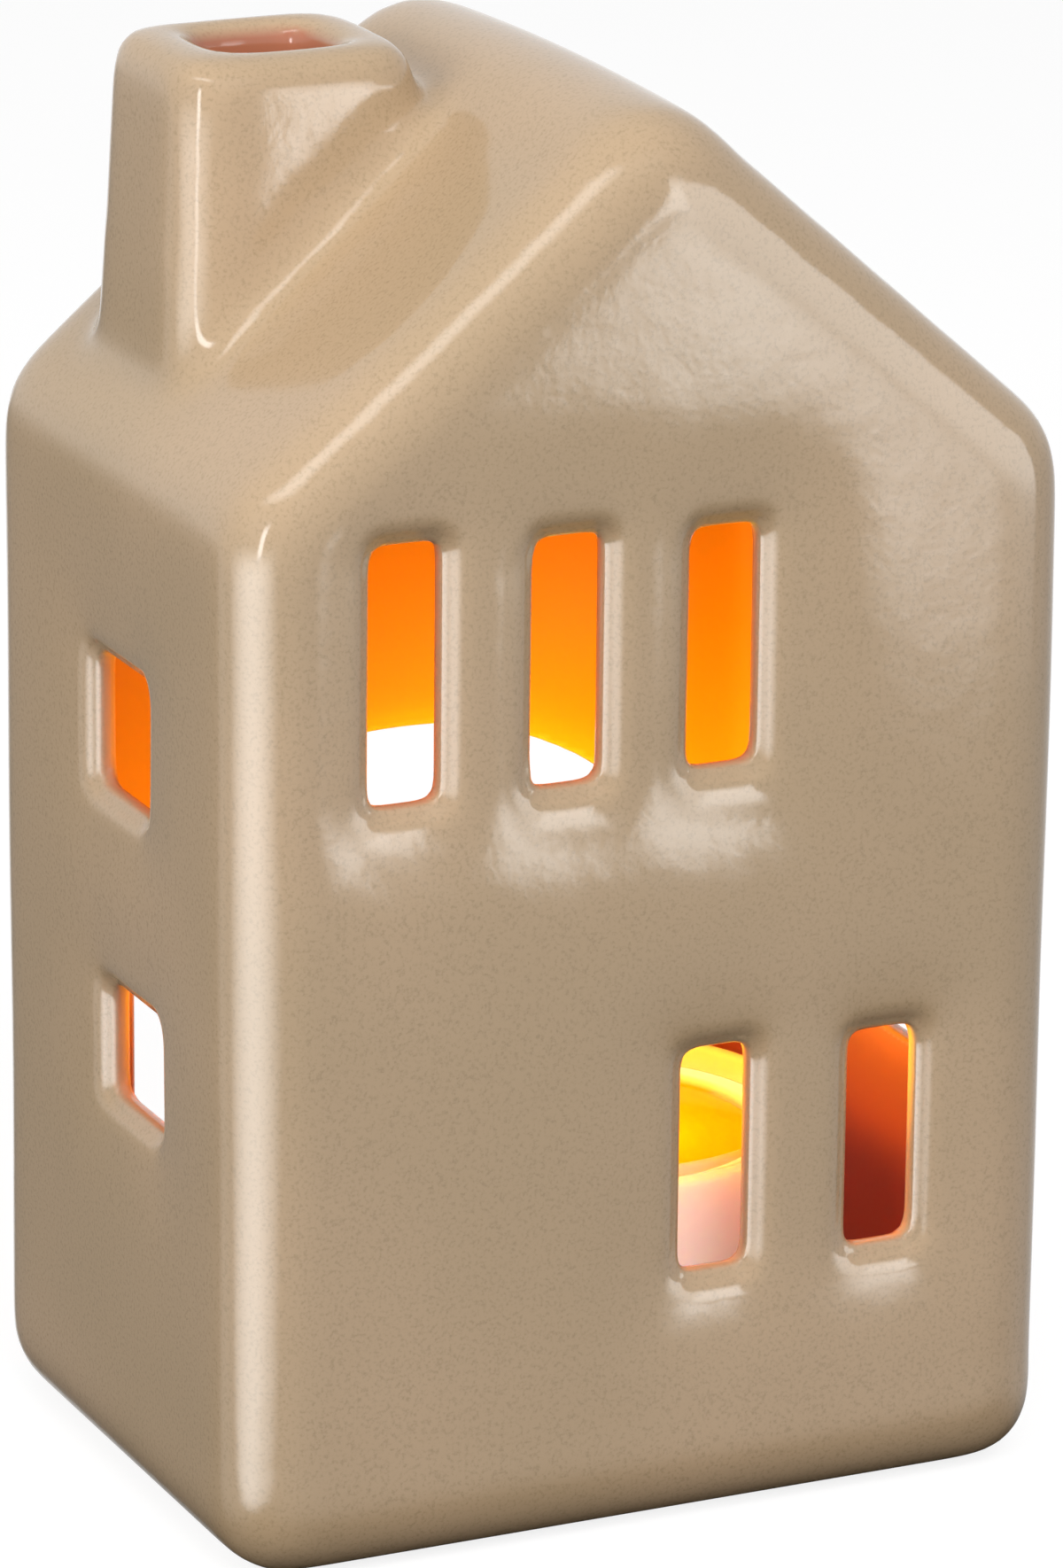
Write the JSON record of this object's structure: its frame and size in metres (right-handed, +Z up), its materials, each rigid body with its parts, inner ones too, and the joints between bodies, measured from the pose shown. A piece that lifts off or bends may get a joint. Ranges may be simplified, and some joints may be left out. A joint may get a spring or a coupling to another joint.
{
  "type": "tealight house",
  "caption": "Gabled house in glazed ceramic with a chimney, cut-out windows and an open back, lit from inside by a tealight.",
  "frame": {"origin": "under the centre of the base, on the surface that the foot ring stands on", "axes": "+Z up; -Y towards the gable front with its five windows; +Y towards the open back; -X towards the chimney's side"},
  "size_m": [0.08, 0.0594, 0.1298],
  "materials": {
    "glazed_earthenware": "greige gloss glaze, thinner and warmer on its edges",
    "clear_cup": "clear and smooth",
    "wax": "translucent white wax",
    "tinned_steel": "bright tinplate",
    "cotton_wick": "braided cotton, burnt black at its tip"
  },
  "bodies": {
    "house": {"ceramic_house": "glazed_earthenware"},
    "tealight": {"tealight_cup": "clear_cup", "candle_wax": "wax", "wick_holder": "tinned_steel", "wick": "cotton_wick"}
  },
  "joints": [
    {"name": "tealight_slide", "type": "slide", "parent": "house", "child": "tealight", "axis": [0, 1, 0], "range_m": [0, 0.06]}
  ]
}
